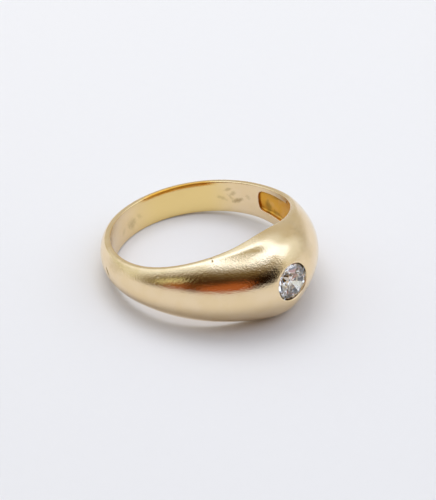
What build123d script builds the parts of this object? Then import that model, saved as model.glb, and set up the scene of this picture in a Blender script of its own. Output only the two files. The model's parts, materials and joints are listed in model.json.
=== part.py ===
from build123d import *

import os
from math import asin, atan, atan2, cos, degrees, hypot, radians, sin, tan
from typing import NamedTuple

# A domed band ring with one round stone sunk flush into its head.
# It lies on its side: the rim of the head and the back of the shank touch the floor, z = 0.
# The head points to -Y, and the finger axis leans a little from +Z. Millimetres and degrees.


class Station(NamedTuple):
    """The band's size at one angle from the middle of the head."""

    angle: float
    width: float
    thickness: float


class Recess(NamedTuple):
    """The hollow's size on the finger side at one angle from the middle of the head."""

    angle: float
    half_width: float
    depth: float


# Band
finger_radius = 8.60
stations = [
    Station(angle=0, width=8.44, thickness=3.65),
    Station(angle=20, width=7.53, thickness=3.10),
    Station(angle=40, width=6.20, thickness=2.13),
    Station(angle=60, width=5.09, thickness=1.42),
    Station(angle=80, width=4.07, thickness=1.25),
    Station(angle=110, width=3.47, thickness=1.18),
    Station(angle=145, width=3.27, thickness=1.14),
    Station(angle=180, width=3.17, thickness=1.14),
]
taper_end = 110  # from this angle on, the flat strip and the shoulder are the shank's
head_strip = 0.36  # flat strip round the rim, measured outward from the finger hole
shank_strip = 0.25
head_roundness = 0.86  # shoulder radius, as a share of the height above the flat strip
shank_roundness = 0.65
rim_rounding = 0.10  # where the finger hole meets the flat strip
inward_reach = 1.5  # how far the sections go in before the finger hole is cut

# Hollow under the head, with a round-ended channel along each shoulder
recesses = [
    Recess(angle=0, half_width=2.95, depth=2.05),
    Recess(angle=20, half_width=2.60, depth=1.70),
    Recess(angle=40, half_width=2.30, depth=1.05),
    Recess(angle=55, half_width=1.98, depth=0.72),
    Recess(angle=65, half_width=1.52, depth=0.64),
    Recess(angle=78, half_width=1.24, depth=0.56),
    Recess(angle=89, half_width=1.03, depth=0.48),
]
recess_offset = 0.17  # off the middle of the width, towards the upper rim
recess_wall_share = 0.35  # straight part of the hollow's side, as a share of its depth
recess_roundness = 0.75

# Stone, a round brilliant: 8 kites, 8 stars and 16 halves above, 8 mains and 16 halves below
stone_radius = 1.85
girdle_height = 0.08
crown_angle = 34.0
pavilion_angle = 41.0
table_share = 0.56  # corners of the table, as a share of the stone's radius
star_share = 0.78  # lower tips of the stars
lower_half_share = 0.22  # inner tips of the lower halves
kite_count = 8
table_above_dome = 0.04

# Seat
seat_gap = 0.035
mouth_radius = 1.79  # the burnished lip covers the edge of the stone
mouth_bevel = 0.05
back_hole_radius = 1.15
cutter_reach = 2.0


def blend(angle, at_head, at_shank):
    """A value that changes smoothly from the head's to the shank's."""
    share = 0.5 + 0.5 * cos(radians(180 * min(abs(angle), taper_end) / taper_end))
    return at_shank + (at_head - at_shank) * share


def dome_height(row):
    """How high the arch stands above the flat strip."""
    return row.thickness - blend(row.angle, head_strip, shank_strip)


def shoulder_radius(row):
    return blend(row.angle, head_roundness, shank_roundness) * dome_height(row)


def crown_radius(half_width, height, shoulder):
    """The radius of the arc over two shoulder arcs, tangent to both and at the full height."""
    return ((half_width - shoulder) ** 2 + height**2 - shoulder**2) / (2 * (height - shoulder))


def across(row, angle):
    """The same row on the other side of an angle."""
    return row._replace(angle=2 * angle - row.angle)


# Lean: the head's rim and the back of the shank stand on one flat floor
head, shank = stations[0], stations[-1]
head_side = head.width / 2 - rim_rounding
shank_side = shank.width / 2 - shoulder_radius(shank)
floor_span = 2 * finger_radius + rim_rounding + shank_strip
floor_drop = head_side - shank_side
rounding_step = shoulder_radius(shank) - rim_rounding
lean = atan2(floor_drop, floor_span) - asin(rounding_step / hypot(floor_span, floor_drop))
axis_height = rim_rounding + head_side * cos(lean) - (finger_radius + rim_rounding) * sin(lean)

# Reach: the stone's table is the foremost point, the shank's crown the hindmost
crown_height = (1 - table_share) * stone_radius * tan(radians(crown_angle))
table_reach = finger_radius + head.thickness + table_above_dome
front_reach = table_reach * cos(lean) + table_share * stone_radius * sin(lean)
shank_crown = crown_radius(shank.width / 2, dome_height(shank), shoulder_radius(shank))
back_reach = (finger_radius + shank.thickness - shank_crown) * cos(lean) + shank_crown

# The ring's own plane has X to the middle of the head and Z along the finger axis
ring_plane = Plane(
    origin=(0, (front_reach - back_reach) / 2, axis_height),
    x_dir=(0, -cos(lean), sin(lean)),
    z_dir=(0, sin(lean), cos(lean)),
)
middle_plane = Plane(ring_plane * Rot(X=-90))
stone_plane = Plane(ring_plane * Pos(X=table_reach - crown_height) * Rot(Y=90))
stone_axis = Axis(stone_plane.origin, stone_plane.z_dir)


def section_plane(angle, offset=0):
    """A plane across the band, with X outward from the finger hole and Y along the finger axis."""
    return Plane(ring_plane * Rot(Z=angle) * Pos(finger_radius, 0, offset) * Rot(X=90))


def arch(half_width, strip, height, shoulder):
    """Draws a closed section: straight sides from inside the finger hole, and three arcs over them."""
    crown = crown_radius(half_width, height, shoulder)
    turn = degrees(atan2(crown - height, half_width - shoulder))
    rising = Line((-inward_reach, -half_width), (strip, -half_width))
    first = JernArc(rising @ 1, rising % 1, shoulder, turn)
    top = JernArc(first @ 1, first % 1, crown, 180 - 2 * turn)
    last = JernArc(top @ 1, top % 1, shoulder, turn)
    falling = Line(last @ 1, (-inward_reach, half_width))
    Line(falling @ 1, rising @ 0)


def band_arch(row):
    strip = blend(row.angle, head_strip, shank_strip)
    arch(row.width / 2, strip, dome_height(row), shoulder_radius(row))


def recess_arch(row):
    wall = recess_wall_share * row.depth
    height = row.depth - wall
    arch(row.half_width, wall, height, recess_roundness * height)


# Facet slopes that let the kites, stars and halves meet in shared corners
kite_step = 360 / kite_count
half_turn = kite_step / 4  # from a kite's middle to the middle of a half
corner = cos(radians(kite_step / 2))
half_reach = stone_radius * cos(radians(half_turn))
star_height = stone_radius * (1 - star_share * corner) * tan(radians(crown_angle))
star_run = stone_radius * (star_share - table_share * corner)
lower_tip_depth = stone_radius * (1 - lower_half_share * corner) * tan(radians(pavilion_angle))
star_angle = degrees(atan((crown_height - star_height) / star_run))
upper_half_angle = degrees(atan(star_height / half_reach / (1 - star_share)))
lower_half_angle = degrees(atan(lower_tip_depth / half_reach / (1 - lower_half_share)))


def crown_facet(turn, slope, reach, height=0):
    """The plane of a facet above the girdle, through the point at a radius and a height."""
    return Plane(stone_plane * Rot(Z=turn) * Pos(reach, 0, height) * Rot(Y=slope))


def pavilion_facet(turn, slope, reach):
    """The plane of a facet that starts at the lower edge of the girdle."""
    return Plane(stone_plane * Rot(Z=turn) * Pos(reach, 0, -girdle_height) * Rot(Y=180 - slope))


with BuildPart(stone_plane) as round_stone:
    with Locations((0, 0, crown_height)):
        Cylinder(stone_radius, 2 * stone_radius, align=(Align.CENTER, Align.CENTER, Align.MAX))
    for number in range(kite_count):
        kite_turn = number * kite_step
        star_turn = kite_turn + kite_step / 2
        facets = [
            crown_facet(kite_turn, crown_angle, stone_radius),
            crown_facet(star_turn, star_angle, star_share * stone_radius, star_height),
            pavilion_facet(kite_turn, pavilion_angle, stone_radius),
        ]
        for turn in (kite_turn - half_turn, kite_turn + half_turn):
            facets.append(crown_facet(turn, upper_half_angle, half_reach))
            facets.append(pavilion_facet(turn, lower_half_angle, half_reach))
        for facet in facets:
            split(bisect_by=facet, keep=Keep.BOTTOM)

# The cutter for the hollow: one half lofted, its end turned round, then mirrored
with BuildPart() as hollow_cutter:
    for row in [across(recesses[1], head.angle), *recesses]:
        with BuildSketch(section_plane(row.angle, recess_offset)):
            with BuildLine():
                recess_arch(row)
            make_face()
    loft()
    split(bisect_by=middle_plane, keep=Keep.TOP)
    end_plane = section_plane(recesses[-1].angle, recess_offset)
    with BuildSketch(end_plane):
        with BuildLine():
            recess_arch(recesses[-1])
        make_face()
        split(bisect_by=Plane.XZ)
    revolve(axis=Axis(end_plane.origin, end_plane.x_dir))
    mirror(about=middle_plane)

# The cutter for the seat: back hole, slope under the pavilion, groove for the girdle, lip
girdle_wall = stone_radius + seat_gap
lip_slope = tan(radians(upper_half_angle))
lip_low = seat_gap / cos(radians(upper_half_angle)) - seat_gap * lip_slope
lip_high = lip_low + (girdle_wall - mouth_radius) * lip_slope
bed_slope = tan(radians(pavilion_angle))
bed_shift = seat_gap / sin(radians(pavilion_angle))
groove_low = -girdle_height - (bed_shift - seat_gap) * bed_slope
bed_low = -girdle_height - (stone_radius + bed_shift - back_hole_radius) * bed_slope
with BuildPart() as seat_cutter:
    with BuildSketch(Plane(stone_plane * Rot(X=90))):
        with BuildLine():
            Polyline(
                (0, bed_low - cutter_reach),
                (back_hole_radius, bed_low - cutter_reach),
                (back_hole_radius, bed_low),
                (girdle_wall, groove_low),
                (girdle_wall, lip_low),
                (mouth_radius, lip_high),
                (mouth_radius, cutter_reach),
                (0, cutter_reach),
                close=True,
            )
        make_face()
    revolve(axis=stone_axis)

# The band: shank, shoulders and domed head in one solid
with BuildPart() as domed_band:
    for row in [across(stations[1], head.angle), *stations, across(stations[-2], shank.angle)]:
        with BuildSketch(section_plane(row.angle)):
            with BuildLine():
                band_arch(row)
            make_face()
    loft()
    split(bisect_by=middle_plane, keep=Keep.TOP)
    mirror(about=middle_plane)
    with Locations(ring_plane):
        Cylinder(finger_radius, 2 * head.width, mode=Mode.SUBTRACT)
    hole_wall = domed_band.faces().filter_by(GeomType.CYLINDER)
    fillet(hole_wall.edges().filter_by(GeomType.LINE, reverse=True), rim_rounding)
    add(hollow_cutter.part, mode=Mode.SUBTRACT)
    add(seat_cutter.part, mode=Mode.SUBTRACT)
    mouth_wall = domed_band.faces().filter_by(GeomType.CYLINDER).sort_by(stone_axis)[-1]
    mouth_edges = mouth_wall.edges().filter_by(GeomType.LINE, reverse=True).sort_by(stone_axis)
    chamfer(mouth_edges[-2:], mouth_bevel)

os.makedirs("parts", exist_ok=True)
domed_band.part.label = "domed_band"
export_step(domed_band.part, "parts/domed_band.step")
round_stone.part.label = "round_stone"
export_step(round_stone.part, "parts/round_stone.step")
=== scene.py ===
import bmesh
import bpy
import json
import numpy as np
from math import atan2, cos, degrees, hypot, pi, radians, sin, sqrt, tan
from mathutils import Matrix, Vector, noise


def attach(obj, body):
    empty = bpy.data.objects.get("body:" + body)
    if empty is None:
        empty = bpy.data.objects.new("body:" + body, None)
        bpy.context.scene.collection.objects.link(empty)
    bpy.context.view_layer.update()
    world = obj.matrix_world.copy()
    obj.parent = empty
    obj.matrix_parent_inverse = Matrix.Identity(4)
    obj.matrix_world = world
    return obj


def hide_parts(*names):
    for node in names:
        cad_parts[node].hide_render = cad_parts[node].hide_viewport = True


# A domed gold ring with one round stone sunk flush into its head, lying on its side on a pale floor.
# Sizes are in millimetres and angles in degrees, and mm turns them into Blender's metres.
# Most shapes are worked out in the ring's own axes: X to the middle of the head, Z along the finger hole.

mm = 0.001
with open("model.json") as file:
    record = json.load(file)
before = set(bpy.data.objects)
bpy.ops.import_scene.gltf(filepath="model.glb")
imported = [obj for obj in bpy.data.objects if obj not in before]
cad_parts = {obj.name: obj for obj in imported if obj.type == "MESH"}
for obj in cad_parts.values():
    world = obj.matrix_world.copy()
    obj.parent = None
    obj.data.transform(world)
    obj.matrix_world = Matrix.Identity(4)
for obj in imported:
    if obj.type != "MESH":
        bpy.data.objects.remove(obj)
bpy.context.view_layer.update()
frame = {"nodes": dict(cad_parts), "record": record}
fingerHole = frame["record"]["mounts"][0]
fingerRadius = fingerHole["dims"]["r_mm"]

# The ring's own axes, from the finger hole in the frame: the head points to -Y and leans with the hole
axisZ = Vector(fingerHole["axis"]).normalized()
axisX = (Vector((0, -1, 0)) + axisZ * axisZ.y).normalized()
axisY = axisZ.cross(axisX)
ringAxes = Matrix((axisX, axisY, axisZ)).transposed().to_4x4()
ringToWorld = Matrix.Translation(fingerHole["pos_m"]) @ ringAxes @ Matrix.Scale(mm, 4)


def smoothStep(value):
    value = min(max(value, 0.0), 1.0)
    return value * value * (3 - 2 * value)


def mix(first, second, share):
    return first + (second - first) * share


def riseAndFall(value, steps):
    # Goes smoothly from 0 to 1 and back over four growing values
    start, full, end, gone = steps
    return smoothStep((value - start) / (full - start)) * smoothStep((gone - value) / (gone - end))


def smoothThrough(points, lastSlope=0.0):
    # Gives a curve through the points that starts level; it may be read at angles of either sign
    x, y = (np.array(values, float) for values in zip(*points))
    step, slope = np.diff(x), np.diff(y) / np.diff(x)
    count = len(x)
    matrix, side = np.eye(count), np.zeros(count)
    side[-1] = lastSlope
    for n in range(1, count - 1):
        matrix[n, n - 1 : n + 2] = step[n], 2 * (step[n - 1] + step[n]), step[n - 1]
        side[n] = 3 * (step[n] * slope[n - 1] + step[n - 1] * slope[n])
    lean = np.linalg.solve(matrix, side)

    def read(angle):
        place = min(max(abs(angle), x[0]), x[-1])
        n = min(int(np.searchsorted(x, place, side="right")) - 1, count - 2)
        t = (place - x[n]) / step[n]
        start = (1 + 2 * t) * (1 - t) ** 2 * y[n] + t * (1 - t) ** 2 * step[n] * lean[n]
        return start + t * t * (3 - 2 * t) * y[n + 1] + t * t * (t - 1) * step[n] * lean[n + 1]

    return read


def newObject(name, bm, material, smooth=True):
    mesh = bpy.data.meshes.new(name)
    bm.to_mesh(mesh)
    bm.free()
    for face in mesh.polygons:
        face.use_smooth = smooth
    made = bpy.data.objects.new(name, mesh)
    bpy.context.scene.collection.objects.link(made)
    made.data.materials.append(material)
    return made


# Arches: the outside of the band and the roof of the hollow are both three arcs over a straight side

def archParts(halfWidth, height, shoulder):
    crown = ((halfWidth - shoulder) ** 2 + height**2 - shoulder**2) / (2 * (height - shoulder))
    turn = atan2(crown - height, halfWidth - shoulder)  # where the crown's arc meets the shoulder's
    return crown, turn


def archPoint(halfWidth, height, shoulder, share):
    # From the top of the arch, share 0, along its length to the straight side, share 1
    crown, turn = archParts(halfWidth, height, shoulder)
    length = share * (crown * (pi / 2 - turn) + shoulder * turn)
    if length < crown * (pi / 2 - turn):
        angle = pi / 2 - length / crown
        return crown * cos(angle), height - crown + crown * sin(angle)
    angle = turn - (length - crown * (pi / 2 - turn)) / shoulder
    return halfWidth - shoulder + shoulder * cos(angle), shoulder * sin(angle)


def archHeight(halfWidth, height, shoulder, across):
    crown, turn = archParts(halfWidth, height, shoulder)
    across = min(abs(across), halfWidth)
    if across < crown * cos(turn):
        return height - crown + sqrt(crown**2 - across**2)
    return sqrt(max(shoulder**2 - (across - halfWidth + shoulder) ** 2, 0.0))


# Band

band = {
    "stations": [  # angle, width, thickness, flat side of the rim, roundness of the shoulder
        (0, 8.44, 3.65, 0.45, 0.91),
        (20, 7.58, 3.16, 0.40, 0.56),
        (40, 6.41, 2.31, 0.36, 0.33),
        (60, 5.17, 1.62, 0.36, 0.30),
        (80, 4.11, 1.38, 0.36, 0.36),
        (110, 3.47, 1.18, 0.36, 0.42),
        (145, 3.27, 1.14, 0.32, 0.52),
        (180, 3.17, 1.14, 0.25, 0.65),
    ],
    "rimRounding": 0.10,
    "headColumns": 112,  # from the middle of the head to the start of the hollow's round end
    "endColumns": 14,
    "shankColumns": 84,
    "spinSteps": 60,
    "archRows": 46,
    "stripRows": 2,
    "rimRows": 4,
    "wallRows": 8,
    "warmReflectionAngles": (108, 135, 165, 205),  # where a painted warm reflection on the finger side sets in and fades again
}

hollow = {
    "halfWidth": [(0, 2.95), (20, 2.60), (40, 2.30), (55, 2.00), (65, 1.56), (78, 1.28), (89, 1.14)],
    "depth": [(0, 2.05), (20, 1.70), (40, 1.05), (55, 0.72), (65, 0.64), (78, 0.56), (89, 0.48)],
    "offset": 0.22,  # off the middle of the width, towards the upper rim
    "wallShare": 0.35,
    "roundness": 0.75,
    "notch": 0.42,  # small cut in the upper edge of one channel
    "notchAngles": (60.4, 64.4),
    "notchEase": 1.4,
    "notchShare": 0.6,  # share of the half width that the cut leaves alone
    "endSquareness": 3.0,
    "lip": 0.06,
    "lipRows": 4,
    "wallRows": 3,
    "roofRows": 18,
    "amberReflectionDepth": 0.12,  # the painted amber reflection is full at this depth
    "amberReflectionEnd": 98,
    "edgeShade": (0.45, 0.55, 0.95),  # painted shade under the upper edge: strength, and the shares of the width where it grows
}

seat = {
    "mouthRadius": 1.79,
    "mouthRounding": 0.07,
    "mouthRows": 4,
    "girdleGap": 0.035,
    "backHoleRadius": 1.15,
    "backHoleRounding": 0.05,
    "mouthBlock": (10, 13),  # columns and rows from the middle to the edge of the block that becomes round
    "backBlock": (7, 7),
    "reach": 1.75,
    "lipSlope": 40,
    "lipLow": 0.02,
}

stone = {
    "radius": 1.85,
    "girdle": 0.08,
    "crownAngle": 34.0,
    "pavilionAngle": 41.0,
    "tableShare": 0.56,
    "aboveDome": 0.04,
}
stone["crownHeight"] = (1 - stone["tableShare"]) * stone["radius"] * tan(radians(stone["crownAngle"]))
stone["place"] = fingerRadius + band["stations"][0][2] + stone["aboveDome"] - stone["crownHeight"]

bandShape = [smoothThrough([(row[0], row[n]) for row in band["stations"]]) for n in (1, 2, 3, 4)]
hollowEnd = hollow["depth"][-1][0]
hollowHalfWidth = smoothThrough(hollow["halfWidth"], lastSlope=-0.019)
hollowDepth = smoothThrough(hollow["depth"], lastSlope=-0.007)


def outerArch(angle):
    width, thickness, strip, roundness = (read(angle) for read in bandShape)
    height = thickness - strip
    return width / 2, height, roundness * height, strip


def roofArch(angle):
    depth = hollowDepth(min(abs(angle), hollowEnd))
    wall = hollow["wallShare"] * depth
    height = depth - wall
    return hollowHalfWidth(min(abs(angle), hollowEnd)), height, hollow["roundness"] * height, wall


def columnAngles():
    # Signed angles of the columns, closer together where the hollow's ends turn round
    endReach = hollowHalfWidth(hollowEnd) + hollow["lip"]
    first = [hollowEnd * n / band["headColumns"] for n in range(band["headColumns"])]
    endTurn, count = degrees(endReach / fingerRadius), band["endColumns"]
    turned = [hollowEnd + endTurn * sin(pi / 2 * n / count) for n in range(count)]
    start = hollowEnd + endTurn
    last = [mix(start, 180, n / band["shankColumns"]) for n in range(band["shankColumns"] + 1)]
    half = first + turned + last
    return half + [-angle for angle in half[-2:0:-1]]


def hollowProfile(angle):
    # Half of the hollow's section as (distance from its middle, depth), from the finger hole inwards
    halfWidth, height, shoulder, wall = roofArch(angle)
    lip = hollow["lip"]
    points = []
    for n in range(hollow["lipRows"]):
        turn = pi / 2 * n / hollow["lipRows"]
        points.append((halfWidth + lip - lip * sin(turn), lip - lip * cos(turn)))
    for n in range(hollow["wallRows"]):
        points.append((halfWidth, mix(lip, wall, n / hollow["wallRows"])))
    for n in range(hollow["roofRows"] + 1):
        across, rise = archPoint(halfWidth, height, shoulder, 1 - n / hollow["roofRows"])
        points.append((across, wall + rise))
    past = radians(abs(angle) - hollowEnd) * fingerRadius
    if past <= 0:
        return points
    inwards, depths = zip(*points[::-1])
    deepest = float(np.interp(past, inwards, depths, right=0.0))
    power = hollow["endSquareness"]
    return [
        ((across**power - past**power) ** (1 / power), depth) if across > past else (0.0, deepest)
        for across, depth in points
    ]


def sectionHalf(angle, side):
    # One side of the closed section as (outward from the finger hole, along the finger axis)
    # It runs from the crown over the shoulder, the rim and the wall to the middle of the hollow
    halfWidth, height, shoulder, strip = outerArch(angle)
    rounding = band["rimRounding"]
    points = []
    for n in range(band["archRows"]):
        across, rise = archPoint(halfWidth, height, shoulder, n / band["archRows"])
        points.append((strip + rise, across))
    for n in range(band["stripRows"]):
        points.append((mix(strip, rounding, n / band["stripRows"]), halfWidth))
    for n in range(band["rimRows"]):
        turn = pi / 2 * n / band["rimRows"]
        points.append((rounding * (1 - sin(turn)), halfWidth - rounding * (1 - cos(turn))))
    inner = hollowProfile(angle)
    if side > 0 and 0 < angle < hollowEnd:
        start, end = hollow["notchAngles"]
        cut = hollow["notch"] * smoothStep((angle - start) / hollow["notchEase"])
        cut *= smoothStep((end - angle) / hollow["notchEase"])
        widest, kept = inner[0][0], hollow["notchShare"]
        opened = [cut * smoothStep((across / widest - kept) / (1 - kept)) for across, depth in inner]
        inner = [(across + more, depth) for (across, depth), more in zip(inner, opened)]
    edge = inner[0][0] + side * hollow["offset"]
    for n in range(band["wallRows"]):
        points.append((0.0, mix(halfWidth - rounding, edge, n / band["wallRows"])))
    points += [(depth, across + side * hollow["offset"]) for across, depth in inner]
    return [(outward, side * along) for outward, along in points]


def onSurface(y, z, outside):
    # The point of the dome, or of the hollow's roof, over a place in the plane across the stone's axis
    x = sqrt(fingerRadius**2 - min(y**2, fingerRadius**2))
    for n in range(4):
        angle = degrees(atan2(y, x))
        halfWidth, height, shoulder, base = outerArch(angle) if outside else roofArch(angle)
        across = z if outside else z - hollow["offset"]
        radius = fingerRadius + base + archHeight(halfWidth, height, shoulder, across)
        x = sqrt(radius**2 - y**2)
    return Vector((x, y, z))


def roundBlock(grid, block, radius, outside):
    # Eases the square block of faces in the middle into a circle about the stone's axis
    columns, rows = block
    reach = seat["reach"]
    for (i, j), vert in grid.items():
        ring = max(abs(i) / columns, abs(j) / rows)
        if not 0.99 < ring < reach:
            continue
        y, z = vert.co.y, vert.co.z
        scale = mix(radius * ring / hypot(y, z), 1.0, smoothStep((ring - 1) / (reach - 1)))
        vert.co = onSurface(y * scale, z * scale, outside)


def blockFaces(grid, block):
    columns, rows = block
    inside = {vert for (i, j), vert in grid.items() if abs(i) <= columns and abs(j) <= rows}
    return [face for vert in inside for face in vert.link_faces if inside.issuperset(face.verts)]


def extrudeRing(bm, edges, place):
    # Extrudes an open loop once and puts each new vertex where place(x, y, z) says
    made = bmesh.ops.extrude_edge_only(bm, edges=edges)["geom"]
    for vert in [v for v in made if isinstance(v, bmesh.types.BMVert)]:
        vert.co = place(vert.co)
    return [e for e in made if isinstance(e, bmesh.types.BMEdge) and e.is_boundary]


def ringAt(radius, x):
    def place(co):
        scale = radius / hypot(co.y, co.z)
        return Vector((x, co.y * scale, co.z * scale))

    return place


def runsAround(edge):
    first, second = (vert.co for vert in edge.verts)
    return abs(first.x * second.y - first.y * second.x) > 0.01


def buildBand(material):
    angles = columnAngles()
    halves = len(sectionHalf(0, 1)) - 1
    rows, columns = 2 * halves, len(angles)
    bm = bmesh.new()
    layers = {name: bm.verts.layers.float.new(name) for name in ("tarnishAndShade", "warmReflection", "amberReflection")}
    upright = Matrix.Rotation(pi / 2, 4, "X") @ Matrix.Rotation(pi / 2, 4, "Z")
    startPlace = Matrix.Translation((fingerRadius, 0, 0)) @ upright
    bmesh.ops.create_circle(bm, segments=rows, radius=1, matrix=startPlace)
    section = bm.verts[:] + bm.edges[:]
    steps = band["spinSteps"]
    turn = {"cent": (0, 0, 0), "axis": (0, 0, 1), "angle": 2 * pi}
    bmesh.ops.spin(bm, geom=section, steps=steps, use_merge=True, **turn)
    around = [edge for edge in bm.edges if runsAround(edge)]
    bmesh.ops.subdivide_edges(bm, edges=around, cuts=columns // steps - 1)
    print("band: spun", columns, "columns of", rows, "rows")

    sections = [[sectionHalf(angle, 1), sectionHalf(angle, -1)] for angle in angles]
    hollowRows = len(hollowProfile(0))
    dome, roof = {}, {}
    for vert in bm.verts:
        x, y, z = vert.co
        i = round(atan2(y, x) / (2 * pi) * columns) % columns
        j = round(atan2(z, hypot(x, y) - fingerRadius) / (2 * pi) * rows) % rows
        low = j > halves
        outward, along = sections[i][low][rows - j if low else j]
        radius, angle = fingerRadius + outward, radians(angles[i])
        vert.co = radius * cos(angle), radius * sin(angle), along
        # On the finger side, a painted warm reflection over some angles
        if outward < band["rimRounding"]:
            vert[layers["warmReflection"]] = riseAndFall(angles[i] % 360, band["warmReflectionAngles"])
        # In the hollow, a painted amber reflection that grows inwards
        if min(j, rows - j) > halves - hollowRows and outward > 0 and abs(angles[i]) < hollow["amberReflectionEnd"]:
            vert[layers["amberReflection"]] = smoothStep(outward / hollow["amberReflectionDepth"])
            # Painted shade under the hollow's upper edge, kept with the tarnish
            edge = hollowHalfWidth(min(abs(angles[i]), hollowEnd)) + hollow["offset"]
            strength, start, full = hollow["edgeShade"]
            vert[layers["tarnishAndShade"]] = strength * smoothStep((along / edge - start) / (full - start))
        column = i if i <= columns // 2 else i - columns
        dome[column, j - rows if low else j] = vert
        roof[column, j - halves] = vert
    nearDome = {key: vert for key, vert in dome.items() if max(map(abs, key)) < band["archRows"]}
    nearRoof = {key: vert for key, vert in roof.items() if max(map(abs, key)) < hollow["roofRows"]}

    mouthEdge = seat["mouthRadius"] + seat["mouthRounding"]
    backEdge = seat["backHoleRadius"] + seat["backHoleRounding"]
    roundBlock(nearDome, seat["mouthBlock"], mouthEdge, True)
    roundBlock(nearRoof, seat["backBlock"], backEdge, False)
    holes = blockFaces(nearDome, seat["mouthBlock"]) + blockFaces(nearRoof, seat["backBlock"])
    bmesh.ops.delete(bm, geom=list(set(holes)), context="FACES")

    openEdges = [edge for edge in bm.edges if edge.is_boundary]
    between = (mouthEdge + backEdge) / 2
    mouth = [edge for edge in openEdges if hypot(edge.verts[0].co.y, edge.verts[0].co.z) > between]
    back = [edge for edge in openEdges if edge not in mouth]
    buildSeat(bm, mouth, back)
    bmesh.ops.remove_doubles(bm, verts=bm.verts[:], dist=1e-5)
    bmesh.ops.dissolve_degenerate(bm, edges=bm.edges[:], dist=1e-6)
    bmesh.ops.recalc_face_normals(bm, faces=bm.faces[:])
    wearSurface(bm, layers)
    addPolishMap(bm)
    bmesh.ops.transform(bm, matrix=ringToWorld, verts=bm.verts[:])
    bmesh.ops.recalc_face_normals(bm, faces=bm.faces[:])
    print("band:", len(bm.faces), "faces,", sum(not edge.is_manifold for edge in bm.edges), "open edges")
    return newObject("polished_band", bm, material)


wear = {
    "swell": 2.6,  # size of the very shallow hammering left in the polish
    "swellDepth": 0.014,
    "swellClear": (2.1, 3.3),  # distances from the stone's axis where it starts and where it is full
    "swellFrom": 0.5,  # it lies only farther out from the finger hole than this
    "boreLimit": 0.12,  # marks on the finger side lie within this distance of it
    "roofLimit": 0.8,
    "finerTo": 1.9,  # the faces are smaller up to this many times a dent's size
    "markEdge": 1.2,
    "edgeWidths": (0.5, 1.0),  # how wide the edge of a firm and of a soft mark is
    "ragged": ((0.45, 0.13), (0.35, 0.32)),  # strength and size of what makes a mark's edge uneven
    "crisp": 0.7,  # marks darker than this have a firm edge
    "flareAngles": (124, 136, 172, 182),  # where the upper rim of the far side is worn wider and carries a painted amber reflection
    "flareHeight": 0.38,
    "flareDepth": 0.08,
    "flareTone": 0.35,  # share of its height over which the painted amber reflection sets in
    "flareCurve": 1.6,
}

# Dents, stains and painted shade: wall, angle, place along the finger axis, length, width, turn, depth,
# tarnish and painted shade
marks = [
    ("bore", 124.0, -0.10, 1.30, 0.44, 24, 0.012, 0.26),
    ("bore", 119.0, 0.86, 0.95, 0.42, -20, 0.014, 0.34),
    ("bore", 116.0, 0.40, 0.95, 0.48, -40, 0.014, 0.36),
    ("bore", 117.6, 0.00, 1.10, 0.30, 48, 0.012, 0.24),
    ("bore", 112.7, -0.30, 1.50, 0.52, -18, 0.022, 0.58),
    ("bore", 104.8, 0.26, 0.70, 0.60, 40, 0.012, 0.24),
    ("bore", -169.7, -0.26, 1.50, 1.30, 20, 0.014, 0.36),
    ("bore", -177.5, 0.00, 1.10, 0.55, 50, 0.010, 0.18),
    ("bore", -160.0, -0.42, 1.00, 0.55, -40, 0.010, 0.16),
    # Painted shade on the hollow's roof, by its round end and along its upper side
    ("roof", 90.5, -0.45, 1.60, 0.95, 62, 0.0, 0.60),
    ("roof", 84.0, -0.75, 2.20, 0.50, 10, 0.0, 0.45),
    ("roof", 80.0, 1.05, 2.60, 0.55, -4, 0.0, 0.55),
    ("dome", -108.4, 0.05, 1.05, 0.27, -44, 0.035, 1.0),
    ("dome", 15.5, 2.10, 3.60, 2.60, 60, 0.0, 0.20),
    ("dome", -101.0, 1.20, 3.40, 1.30, 0, 0.0, 0.20),
    ("dome", -35.8, 3.26, 0.13, 0.13, 0, 0.030, 0.8),
    ("dome", -67.9, 1.83, 0.12, 0.12, 0, 0.030, 0.8),
]


def markPlace(co, mark):
    # How far a point is from the middle of a mark, 1 at the mark's edge, or None on another wall
    wall, angle, along, length, width, turn = mark[:6]
    radius = hypot(co.x, co.y)
    if (radius < fingerRadius + wear["boreLimit"]) != (wall == "bore"):
        return None
    if wall == "roof" and radius > fingerRadius + wear["roofLimit"]:
        return None
    s = radians((degrees(atan2(co.y, co.x)) - angle + 180) % 360 - 180) * radius
    t = co.z - along
    if abs(s) > length or abs(t) > length:
        return None
    turned = radians(turn)
    s, t = s * cos(turned) + t * sin(turned), t * cos(turned) - s * sin(turned)
    return hypot(s / (length / 2), t / (width / 2))


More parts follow.
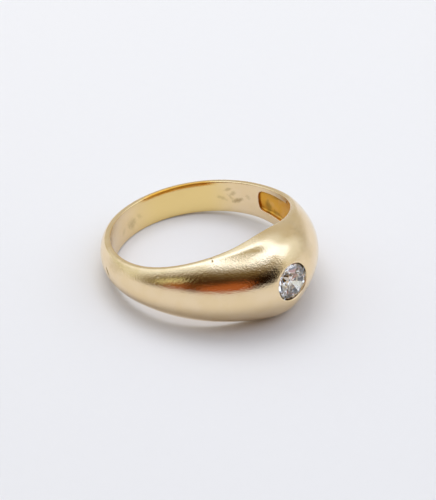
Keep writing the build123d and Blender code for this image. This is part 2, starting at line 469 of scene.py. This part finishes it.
def wearSurface(bm, layers):
    near = set()
    sunkMarks = [mark for mark in marks if mark[6]]  # a mark without depth, a stain or painted shade, needs no finer faces
    for face in bm.faces:
        middle = face.calc_center_median()
        for mark in sunkMarks:
            place = markPlace(middle, mark)
            if place is not None and place < wear["finerTo"]:
                near.update(face.edges)
    bmesh.ops.subdivide_edges(bm, edges=list(near), cuts=2, use_grid_fill=True)
    bm.normal_update()
    moves = []
    for vert in bm.verts:
        co, depth = vert.co, 0.0
        radius, angle = hypot(co.x, co.y), degrees(atan2(co.y, co.x))
        for mark in marks:
            place = markPlace(co, mark)
            if place is None:
                continue
            ragged = place + sum(strength * noise.noise(co / size) for strength, size in wear["ragged"])
            sunk, tarnishAndShade = mark[6:]
            firm, soft = wear["edgeWidths"]
            share = smoothStep((wear["markEdge"] - ragged) / (firm if tarnishAndShade > wear["crisp"] else soft))
            depth += sunk * share
            # Marks carry their tarnish, and the roof marks carry painted shade
            vert[layers["tarnishAndShade"]] = max(vert[layers["tarnishAndShade"]], tarnishAndShade * share)
        clear, far = wear["swellClear"]
        fromStone = hypot(co.y, co.z) if co.x > 0 else far
        if radius > fingerRadius + wear["swellFrom"] and fromStone > clear:
            fade = smoothStep((fromStone - clear) / (far - clear))
            depth += fade * wear["swellDepth"] * (0.5 + 0.5 * noise.noise(co / wear["swell"]))
        low = outerArch(angle)[0] - wear["flareHeight"]
        if radius < fingerRadius + band["rimRounding"] + 0.001 and co.z > low:
            # The far upper rim is worn wider and gets the painted amber reflection
            share = riseAndFall(angle % 360, wear["flareAngles"])
            rise = min((co.z - low) / wear["flareHeight"], 1.0)
            vert[layers["amberReflection"]] = share * smoothStep(rise / wear["flareTone"])
            outward = wear["flareDepth"] * share * rise ** wear["flareCurve"]
            moves.append((vert, Vector((co.x, co.y, 0)).normalized() * outward))
        if depth:
            moves.append((vert, vert.normal * -depth))
    for vert, move in moves:
        vert.co += move


def addPolishMap(bm):
    # A map in millimetres, along the band and round its section, for the fine polishing lines
    layer = bm.loops.layers.uv.new("polish")
    for face in bm.faces:
        turns = [atan2(vert.co.y, vert.co.x) for vert in face.verts]
        wraps = max(turns) - min(turns) > pi
        for loop, turn in zip(face.loops, turns):
            x, y, z = loop.vert.co
            along = turn + 2 * pi if wraps and turn < 0 else turn
            loop[layer].uv = along * (fingerRadius + 1), 5 * atan2(z, hypot(x, y) - fingerRadius + 2)


def buildSeat(bm, mouth, back):
    rounding = seat["mouthRounding"]
    for n in range(seat["mouthRows"]):
        before, after = (pi / 2 * step / seat["mouthRows"] for step in (n, n + 1))
        inward = rounding * (sin(after) - sin(before))
        down = rounding * (cos(before) - cos(after))

        def place(co):
            reach = hypot(co.y, co.z)
            scale = (reach - inward) / reach
            return Vector((co.x - down, co.y * scale, co.z * scale))

        mouth = extrudeRing(bm, mouth, place)

    gap, lipLow, backRadius = seat["girdleGap"], seat["lipLow"], seat["backHoleRadius"]
    wall = stone["radius"] + gap
    bedSlope = tan(radians(stone["pavilionAngle"]))
    lipHigh = lipLow + (wall - seat["mouthRadius"]) * tan(radians(seat["lipSlope"]))
    bedShift = gap / sin(radians(stone["pavilionAngle"]))
    grooveLow = -stone["girdle"] - (bedShift - gap) * bedSlope
    bedLow = -stone["girdle"] - (stone["radius"] + bedShift - backRadius) * bedSlope
    steps = [(seat["mouthRadius"], lipHigh), (wall, lipLow), (wall, grooveLow), (backRadius, bedLow)]
    for radius, height in steps:
        mouth = extrudeRing(bm, mouth, ringAt(radius, stone["place"] + height))
    rounding = seat["backHoleRounding"]

    def placeBack(co):
        scale = backRadius / hypot(co.y, co.z)
        return Vector((co.x + rounding, co.y * scale, co.z * scale))

    back = extrudeRing(bm, back, placeBack)
    bmesh.ops.bridge_loops(bm, edges=mouth + back)


# Materials

class NodeBuilder:
    # Adds nodes to one tree; a value may be a number, a colour or the output of another node

    def __init__(self, tree):
        self.nodes, self.links = tree.nodes, tree.links
        self.nodes.clear()

    def plug(self, socket, value):
        if isinstance(value, bpy.types.NodeSocket):
            self.links.new(value, socket)
        elif value is not None:
            socket.default_value = value

    def add(self, kind, values=None, **settings):
        node = self.nodes.new(kind)
        for name, value in settings.items():
            setattr(node, name, value)
        for name, value in (values or {}).items():
            self.plug(node.inputs[name], value)
        return node

    def math(self, operation, *values, clamp=False):
        numbered = dict(enumerate(values))
        return self.add("ShaderNodeMath", numbered, operation=operation, use_clamp=clamp).outputs["Value"]

    def ease(self, value, start, end, low=0.0, high=1.0):
        # Goes smoothly from low to high while the value goes from start to end
        values = {"Value": value, "From Min": start, "From Max": end, "To Min": low, "To Max": high}
        return self.add("ShaderNodeMapRange", values, interpolation_type="SMOOTHSTEP").outputs["Result"]

    def blend(self, share, first, second, kind="MIX"):
        node = self.add("ShaderNodeMix", data_type="RGBA", blend_type=kind)
        self.plug(node.inputs["Factor"], share)
        self.plug(node.inputs[6], first)  # the two colours have no names of their own
        self.plug(node.inputs[7], second)
        return node.outputs[2]

    def noise(self, vector, scale, detail=2.0, roughness=0.5):
        values = {"Vector": vector, "Scale": scale, "Detail": detail, "Roughness": roughness}
        return self.add("ShaderNodeTexNoise", values).outputs["Fac"]


def newMaterial(name):
    material = bpy.data.materials.new(name)
    material.use_nodes = True
    build = NodeBuilder(material.node_tree)
    output = build.add("ShaderNodeOutputMaterial")
    shader = build.add("ShaderNodeBsdfPrincipled")
    build.links.new(shader.outputs["BSDF"], output.inputs["Surface"])
    return material, build, shader


goldLook = {
    "base": (0.89, 0.71, 0.46, 1),
    "deeper": (0.87, 0.68, 0.41, 1),
    # painted warm reflection on the finger side
    "warm": (0.89, 0.68, 0.29, 1),
    # painted amber reflection inside the hollow and on the far rim
    "amberReflection": (0.81, 0.43, 0.060, 1),
    # tarnish of the marks, and painted shade in the hollow
    "tarnishAndShade": (0.25, 0.155, 0.035, 1),
    "roughness": (0.09, 0.17),
    "patchSize": 1.6,  # size of the soft patches of colour, mm
    "grainSize": 0.17,
    "grainHeight": 0.016,
    "hairSize": (1.6, 0.07),  # fine polishing lines, along and across, mm
    "hairHeight": 0.0016,
    "hairTurns": (4, -38),
    "wearSize": 0.9,  # size of the rougher patches, mm
    "reflectionStreakSize": 1.3,  # lighter and darker streaks in the painted amber reflection on the roof of the hollow, mm
}


def goldMaterial():
    material, build, shader = newMaterial("pale yellow gold")
    place = build.add("ShaderNodeTexCoord").outputs["Object"]
    tarnishAndShade = build.add("ShaderNodeAttribute", attribute_name="tarnishAndShade").outputs["Fac"]
    polish = build.add("ShaderNodeUVMap", uv_map="polish").outputs["UV"]
    patches = build.noise(place, 1 / (goldLook["patchSize"] * mm), detail=3)
    tone = build.blend(build.ease(patches, 0.35, 0.68), goldLook["base"], goldLook["deeper"])
    warm = build.add("ShaderNodeAttribute", attribute_name="warmReflection").outputs["Fac"]
    amberReflection = build.add("ShaderNodeAttribute", attribute_name="amberReflection").outputs["Fac"]
    # Painted amber reflection in the hollow, in lighter and darker streaks
    reflectionStreaks = build.noise(place, 1 / (goldLook["reflectionStreakSize"] * mm), detail=2)
    amberShare = build.math("MULTIPLY", amberReflection, build.ease(reflectionStreaks, 0.30, 0.65, 0.80, 1.05), clamp=True)
    # Painted reflections: the warm finger side, and the amber of the hollow and of the far rim
    tone = build.blend(amberShare, build.blend(warm, tone, goldLook["warm"]), goldLook["amberReflection"])
    # Tarnish of the marks, and painted shade in the hollow
    build.plug(shader.inputs["Base Color"], build.blend(tarnishAndShade, tone, goldLook["tarnishAndShade"]))
    dirt = build.ease(tarnishAndShade, 0.80, 0.98)  # only the deepest marks hold dirt that isn't metal
    build.plug(shader.inputs["Metallic"], build.math("SUBTRACT", 1.0, dirt))
    build.plug(shader.inputs["Specular IOR Level"], build.math("MULTIPLY_ADD", dirt, -0.4, 0.5))

    dull = build.noise(place, 1 / (goldLook["wearSize"] * mm), detail=4, roughness=0.6)
    smooth, rough = goldLook["roughness"]
    worn = build.ease(dull, 0.35, 0.7, smooth, rough)
    worn = build.math("MULTIPLY_ADD", amberReflection, 0.2, worn)
    build.plug(shader.inputs["Roughness"], build.math("MULTIPLY_ADD", tarnishAndShade, 0.15, worn))

    grain = build.noise(place, 1 / (goldLook["grainSize"] * mm), detail=3, roughness=0.6)
    along, across = goldLook["hairSize"]
    hairs = []
    for turn in goldLook["hairTurns"]:
        stretch = build.add("ShaderNodeMapping", {"Vector": polish, "Rotation": (0, 0, radians(turn))})
        stretch.inputs["Scale"].default_value = (1 / along, 1 / across, 1)
        hairs.append(build.noise(stretch.outputs["Vector"], 1.0, detail=1))
    hair = build.math("MAXIMUM", *hairs)
    normal = None
    for height, distance in ((grain, goldLook["grainHeight"]), (hair, goldLook["hairHeight"])):
        values = {"Height": height, "Distance": distance * mm, "Strength": 1.0, "Normal": normal}
        normal = build.add("ShaderNodeBump", values).outputs["Normal"]
    build.plug(shader.inputs["Normal"], normal)
    return material


stoneLook = {
    "colours": ((1.0, 0.975, 0.935, 1), (0.97, 0.94, 0.89, 1)),
    "cloudSize": 0.8,
    "refraction": 2.42,
}


def stoneMaterial():
    material, build, shader = newMaterial("clear stone")
    place = build.add("ShaderNodeTexCoord").outputs["Object"]
    cloud = build.noise(place, 1 / (stoneLook["cloudSize"] * mm), detail=2)
    build.plug(shader.inputs["Base Color"], build.blend(cloud, *stoneLook["colours"]))
    build.plug(shader.inputs["Roughness"], 0.0)
    build.plug(shader.inputs["IOR"], stoneLook["refraction"])
    build.plug(shader.inputs["Transmission Weight"], 1.0)
    return material


paperLook = {
    "colours": ((0.735, 0.705, 0.677, 1), (0.722, 0.692, 0.664, 1)),
    "fibreSize": 1.2,
    "fibreHeight": 0.02,
    "roughness": 0.75,
}


def floorMaterial():
    material, build, shader = newMaterial("pale paper")
    place = build.add("ShaderNodeTexCoord").outputs["Object"]
    fibre = build.noise(place, 1 / (paperLook["fibreSize"] * mm), detail=5, roughness=0.6)
    build.plug(shader.inputs["Base Color"], build.blend(fibre, *paperLook["colours"]))
    build.plug(shader.inputs["Roughness"], paperLook["roughness"])
    height = paperLook["fibreHeight"] * mm
    bump = build.add("ShaderNodeBump", {"Height": fibre, "Distance": height, "Strength": 0.3})
    build.plug(shader.inputs["Normal"], bump.outputs["Normal"])
    return material


gold = goldMaterial()
polishedBand = buildBand(gold)
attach(polishedBand, "root")
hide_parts("domed_band")

roundStone = frame["nodes"]["round_stone"]
roundStone.data.materials.clear()
roundStone.data.materials.append(stoneMaterial())
print("stone: material set")

# Studio

studio = {
    "floorSize": 900,
    "domeRadius": 400,
    "skyStrength": 0.85,
    "softboxSize": 260,
    "softboxPower": 0.45,
    "softboxPlace": (60, 110, 330),
}

# What the gold reflects. Directions are in degrees: azimuth 0 is the head's side, -90 is left
reflectionTones = {
    "side": (0.62, 0.59, 0.51),
    "high": (0.93, 1.00, 1.07),
    "back": (0.80, 0.83, 0.77),
    "bright": (1.03, 1.13, 1.24),
    "panel": (1.55, 1.75, 2.20),
    "middle": (0.51, 0.48, 0.36),
    "low": (0.90, 0.95, 0.97),
    "brown": (0.17, 0.125, 0.055),
    "dark": (0.060, 0.027, 0.010),
    "darkest": (0.012, 0.005, 0.001),
    "warm": (0.40, 0.118, 0.035),
    "glint": (1.00, 1.02, 0.62),
}

# Panels overhead, as ellipses in flat places seen from below: middle, radii and turn
panels = {
    "outer": ((0.0, 0.10), (0.48, 1.00), 0),
    "inner": ((-0.04, 0.03), (0.20, 0.38), 18),
}

# Patches of the room, each painted over the last: tone, strength, and where each measure starts and is full
roomPatches = [
    ("high", 1.0, [("elevation", 28, 64)]),
    ("bright", 1.0, [("azimuth", 144, 160), ("elevation", 18, 34)]),
    ("low", 1.0, [("azimuth", 14, 32), ("azimuth", 92, 76), ("elevation", -2, 14), ("elevation", 60, 34)]),
    ("backSky", 1.0, [("azimuth", -97, -119)]),
    ("panel", 1.0, [("elevation", 20, 24), ("outer", 1.08, 0.86)]),
    ("panel", 0.75, [("azimuth", 2, 20), ("azimuth", 72, 58), ("elevation", 18, 34)]),
    ("middle", 1.0, [("elevation", 20, 24), ("inner", 1.14, 0.84)]),
    ("darkSide", 1.0, [("leftEdge", -138, -104), ("rightEdge", 14, -2), ("tilted", 71, 47)]),
    ("warm", 1.0, [("azimuth", -76, -68), ("azimuth", -20, -27), ("overWarm", 2, -3)]),
    ("warm", 0.8, [("azimuth", -98, -94), ("azimuth", -78, -85), ("elevation", 21, 14)]),
    ("glint", 1.0, [("glintSide", 7, 3), ("elevation", 9, 13), ("elevation", 29, 25), ("azimuth", -70, -85)]),
]
darkSide = {
    "lean": -66,  # azimuth that its slanting upper edge leans to
    "brown": (33, 47),
    "brownLeft": (-88, -102),
    "deepest": (-30, -18),
    "deepestUp": (32, 20),
}
glintLine = (-1.2, 135)  # slope and place of the middle of the glint
slants = {  # how an edge or a tone moves: from, to, and the value at both ends
    "backSky": (15, 38, 0.0, 1.0),
    "leftEdge": (14, 50, 0.0, 27.0),
    "rightEdge": (24, 46, -5.0, 6.0),
    "warmTop": (-75, -42, 17.0, 23.0),
    "warmDip": (-42, -22, 0.0, 7.0),
}


def reflectionMaterial():
    material = bpy.data.materials.new("room in the gold")
    material.use_nodes = True
    build = NodeBuilder(material.node_tree)
    tones = {name: (*colour, 1) for name, colour in reflectionTones.items()}
    place = build.add("ShaderNodeTexCoord").outputs["Object"]
    parts = build.add("ShaderNodeSeparateXYZ", {"Vector": place}).outputs
    x, front, z = parts["X"], build.math("MULTIPLY", parts["Y"], -1.0), parts["Z"]
    squares = [build.math("POWER", value, 2.0) for value in (x, front)]
    level = build.math("SQRT", build.math("ADD", *squares))
    azimuth = build.math("DEGREES", build.math("ARCTAN2", x, front))
    elevation = build.math("DEGREES", build.math("ARCTAN2", z, level))
    flatX, flatY = build.math("DIVIDE", x, z), build.math("DIVIDE", front, z)

    def both(*shares):
        total = shares[0]
        for share in shares[1:]:
            total = build.math("MULTIPLY", total, share)
        return total

    def ellipse(centre, radii, turned):
        shiftX = build.math("SUBTRACT", flatX, centre[0])
        shiftY = build.math("SUBTRACT", flatY, centre[1])
        sides = []
        for angle, radius in zip((turned, turned + 90), radii):
            part = build.math("MULTIPLY", shiftX, cos(radians(angle)) / radius)
            part = build.math("MULTIPLY_ADD", shiftY, sin(radians(angle)) / radius, part)
            sides.append(build.math("POWER", part, 2.0))
        return build.math("SQRT", build.math("ADD", *sides))

    lean = radians(darkSide["lean"])
    toward = build.math("MULTIPLY_ADD", x, sin(lean), build.math("MULTIPLY", front, cos(lean)))
    tilted = build.math("DEGREES", build.math("ARCTAN2", z, toward))
    rise, dip = build.ease(azimuth, *slants["warmTop"]), build.ease(azimuth, *slants["warmDip"])
    warmTop = build.math("SUBTRACT", rise, dip)
    slope, middle = glintLine
    across = build.math("SUBTRACT", build.math("MULTIPLY_ADD", azimuth, slope, elevation), middle)
    measures = {
        "azimuth": azimuth,
        "elevation": elevation,
        "outer": ellipse(*panels["outer"]),
        "inner": ellipse(*panels["inner"]),
        "tilted": tilted,
        "leftEdge": build.math("SUBTRACT", azimuth, build.ease(elevation, *slants["leftEdge"])),
        "rightEdge": build.math("ADD", azimuth, build.ease(elevation, *slants["rightEdge"])),
        "overWarm": build.math("SUBTRACT", elevation, warmTop),
        "glintSide": build.math("ABSOLUTE", across),
    }

    backShare = build.ease(elevation, *slants["backSky"])
    tones["backSky"] = build.blend(backShare, tones["back"], tones["bright"])
    browned = (build.ease(tilted, *darkSide["brown"]), build.ease(azimuth, *darkSide["brownLeft"]))
    tone = build.blend(build.math("MAXIMUM", *browned), tones["dark"], tones["brown"])
    deepest = both(build.ease(azimuth, *darkSide["deepest"]), build.ease(elevation, *darkSide["deepestUp"]))
    tones["darkSide"] = build.blend(deepest, tone, tones["darkest"])

    colour = tones["side"]
    for name, strength, limits in roomPatches:
        share = both(*(build.ease(measures[what], start, full) for what, start, full in limits))
        if strength < 1:
            share = both(share, strength)
        colour = build.blend(share, colour, tones[name])
    emission = build.add("ShaderNodeEmission", {"Color": colour, "Strength": 1.0})
    output = build.add("ShaderNodeOutputMaterial")
    build.links.new(emission.outputs["Emission"], output.inputs["Surface"])
    return material


def buildFloor():
    bm = bmesh.new()
    bmesh.ops.create_grid(bm, x_segments=1, y_segments=1, size=studio["floorSize"] * mm / 2)
    newObject("floor", bm, floorMaterial(), smooth=False)


def buildDome():
    # Reflector cards all round, which the camera looks through
    bm = bmesh.new()
    bmesh.ops.create_icosphere(bm, subdivisions=5, radius=studio["domeRadius"] * mm)
    dome = newObject("reflector_dome", bm, reflectionMaterial())
    dome.visible_camera = False


def buildSoftbox():
    data = bpy.data.lights.new("softbox", "AREA")
    data.shape = "DISK"
    data.size = studio["softboxSize"] * mm
    data.energy = studio["softboxPower"]
    softbox = bpy.data.objects.new("softbox", data)
    bpy.context.scene.collection.objects.link(softbox)
    place = Vector(studio["softboxPlace"]) * mm
    softbox.matrix_world = Matrix.Translation(place) @ place.to_track_quat("Z", "Y").to_matrix().to_4x4()
    softbox.visible_glossy = softbox.visible_transmission = False


buildFloor()
buildDome()
buildSoftbox()

world = bpy.data.worlds.new("soft studio")
bpy.context.scene.world = world
world.use_nodes = True
sky = world.node_tree.nodes["Background"]
sky.inputs["Color"].default_value = (1, 1, 1, 1)
sky.inputs["Strength"].default_value = studio["skyStrength"]

# Camera

camera = {
    "place": (-94.820, -98.040, 105.206),
    "aim": (0.726, -0.061, 2.241),
    "lens": 129.944,
    "roll": 0.076,
}


def buildCamera():
    data = bpy.data.cameras.new("camera")
    made = bpy.data.objects.new("camera", data)
    bpy.context.scene.collection.objects.link(made)
    place, aim = Vector(camera["place"]) * mm, Vector(camera["aim"]) * mm
    turned = (aim - place).to_track_quat("-Z", "Y").to_matrix().to_4x4()
    roll = Matrix.Rotation(radians(camera["roll"]), 4, "Z")
    made.matrix_world = Matrix.Translation(place) @ turned @ roll
    data.lens = camera["lens"]
    data.sensor_width = 36
    data.clip_start, data.clip_end = 0.001, 10
    bpy.context.scene.camera = made


buildCamera()
bpy.context.scene.view_settings.view_transform = "Standard"
print("studio: floor, light and camera are in place")
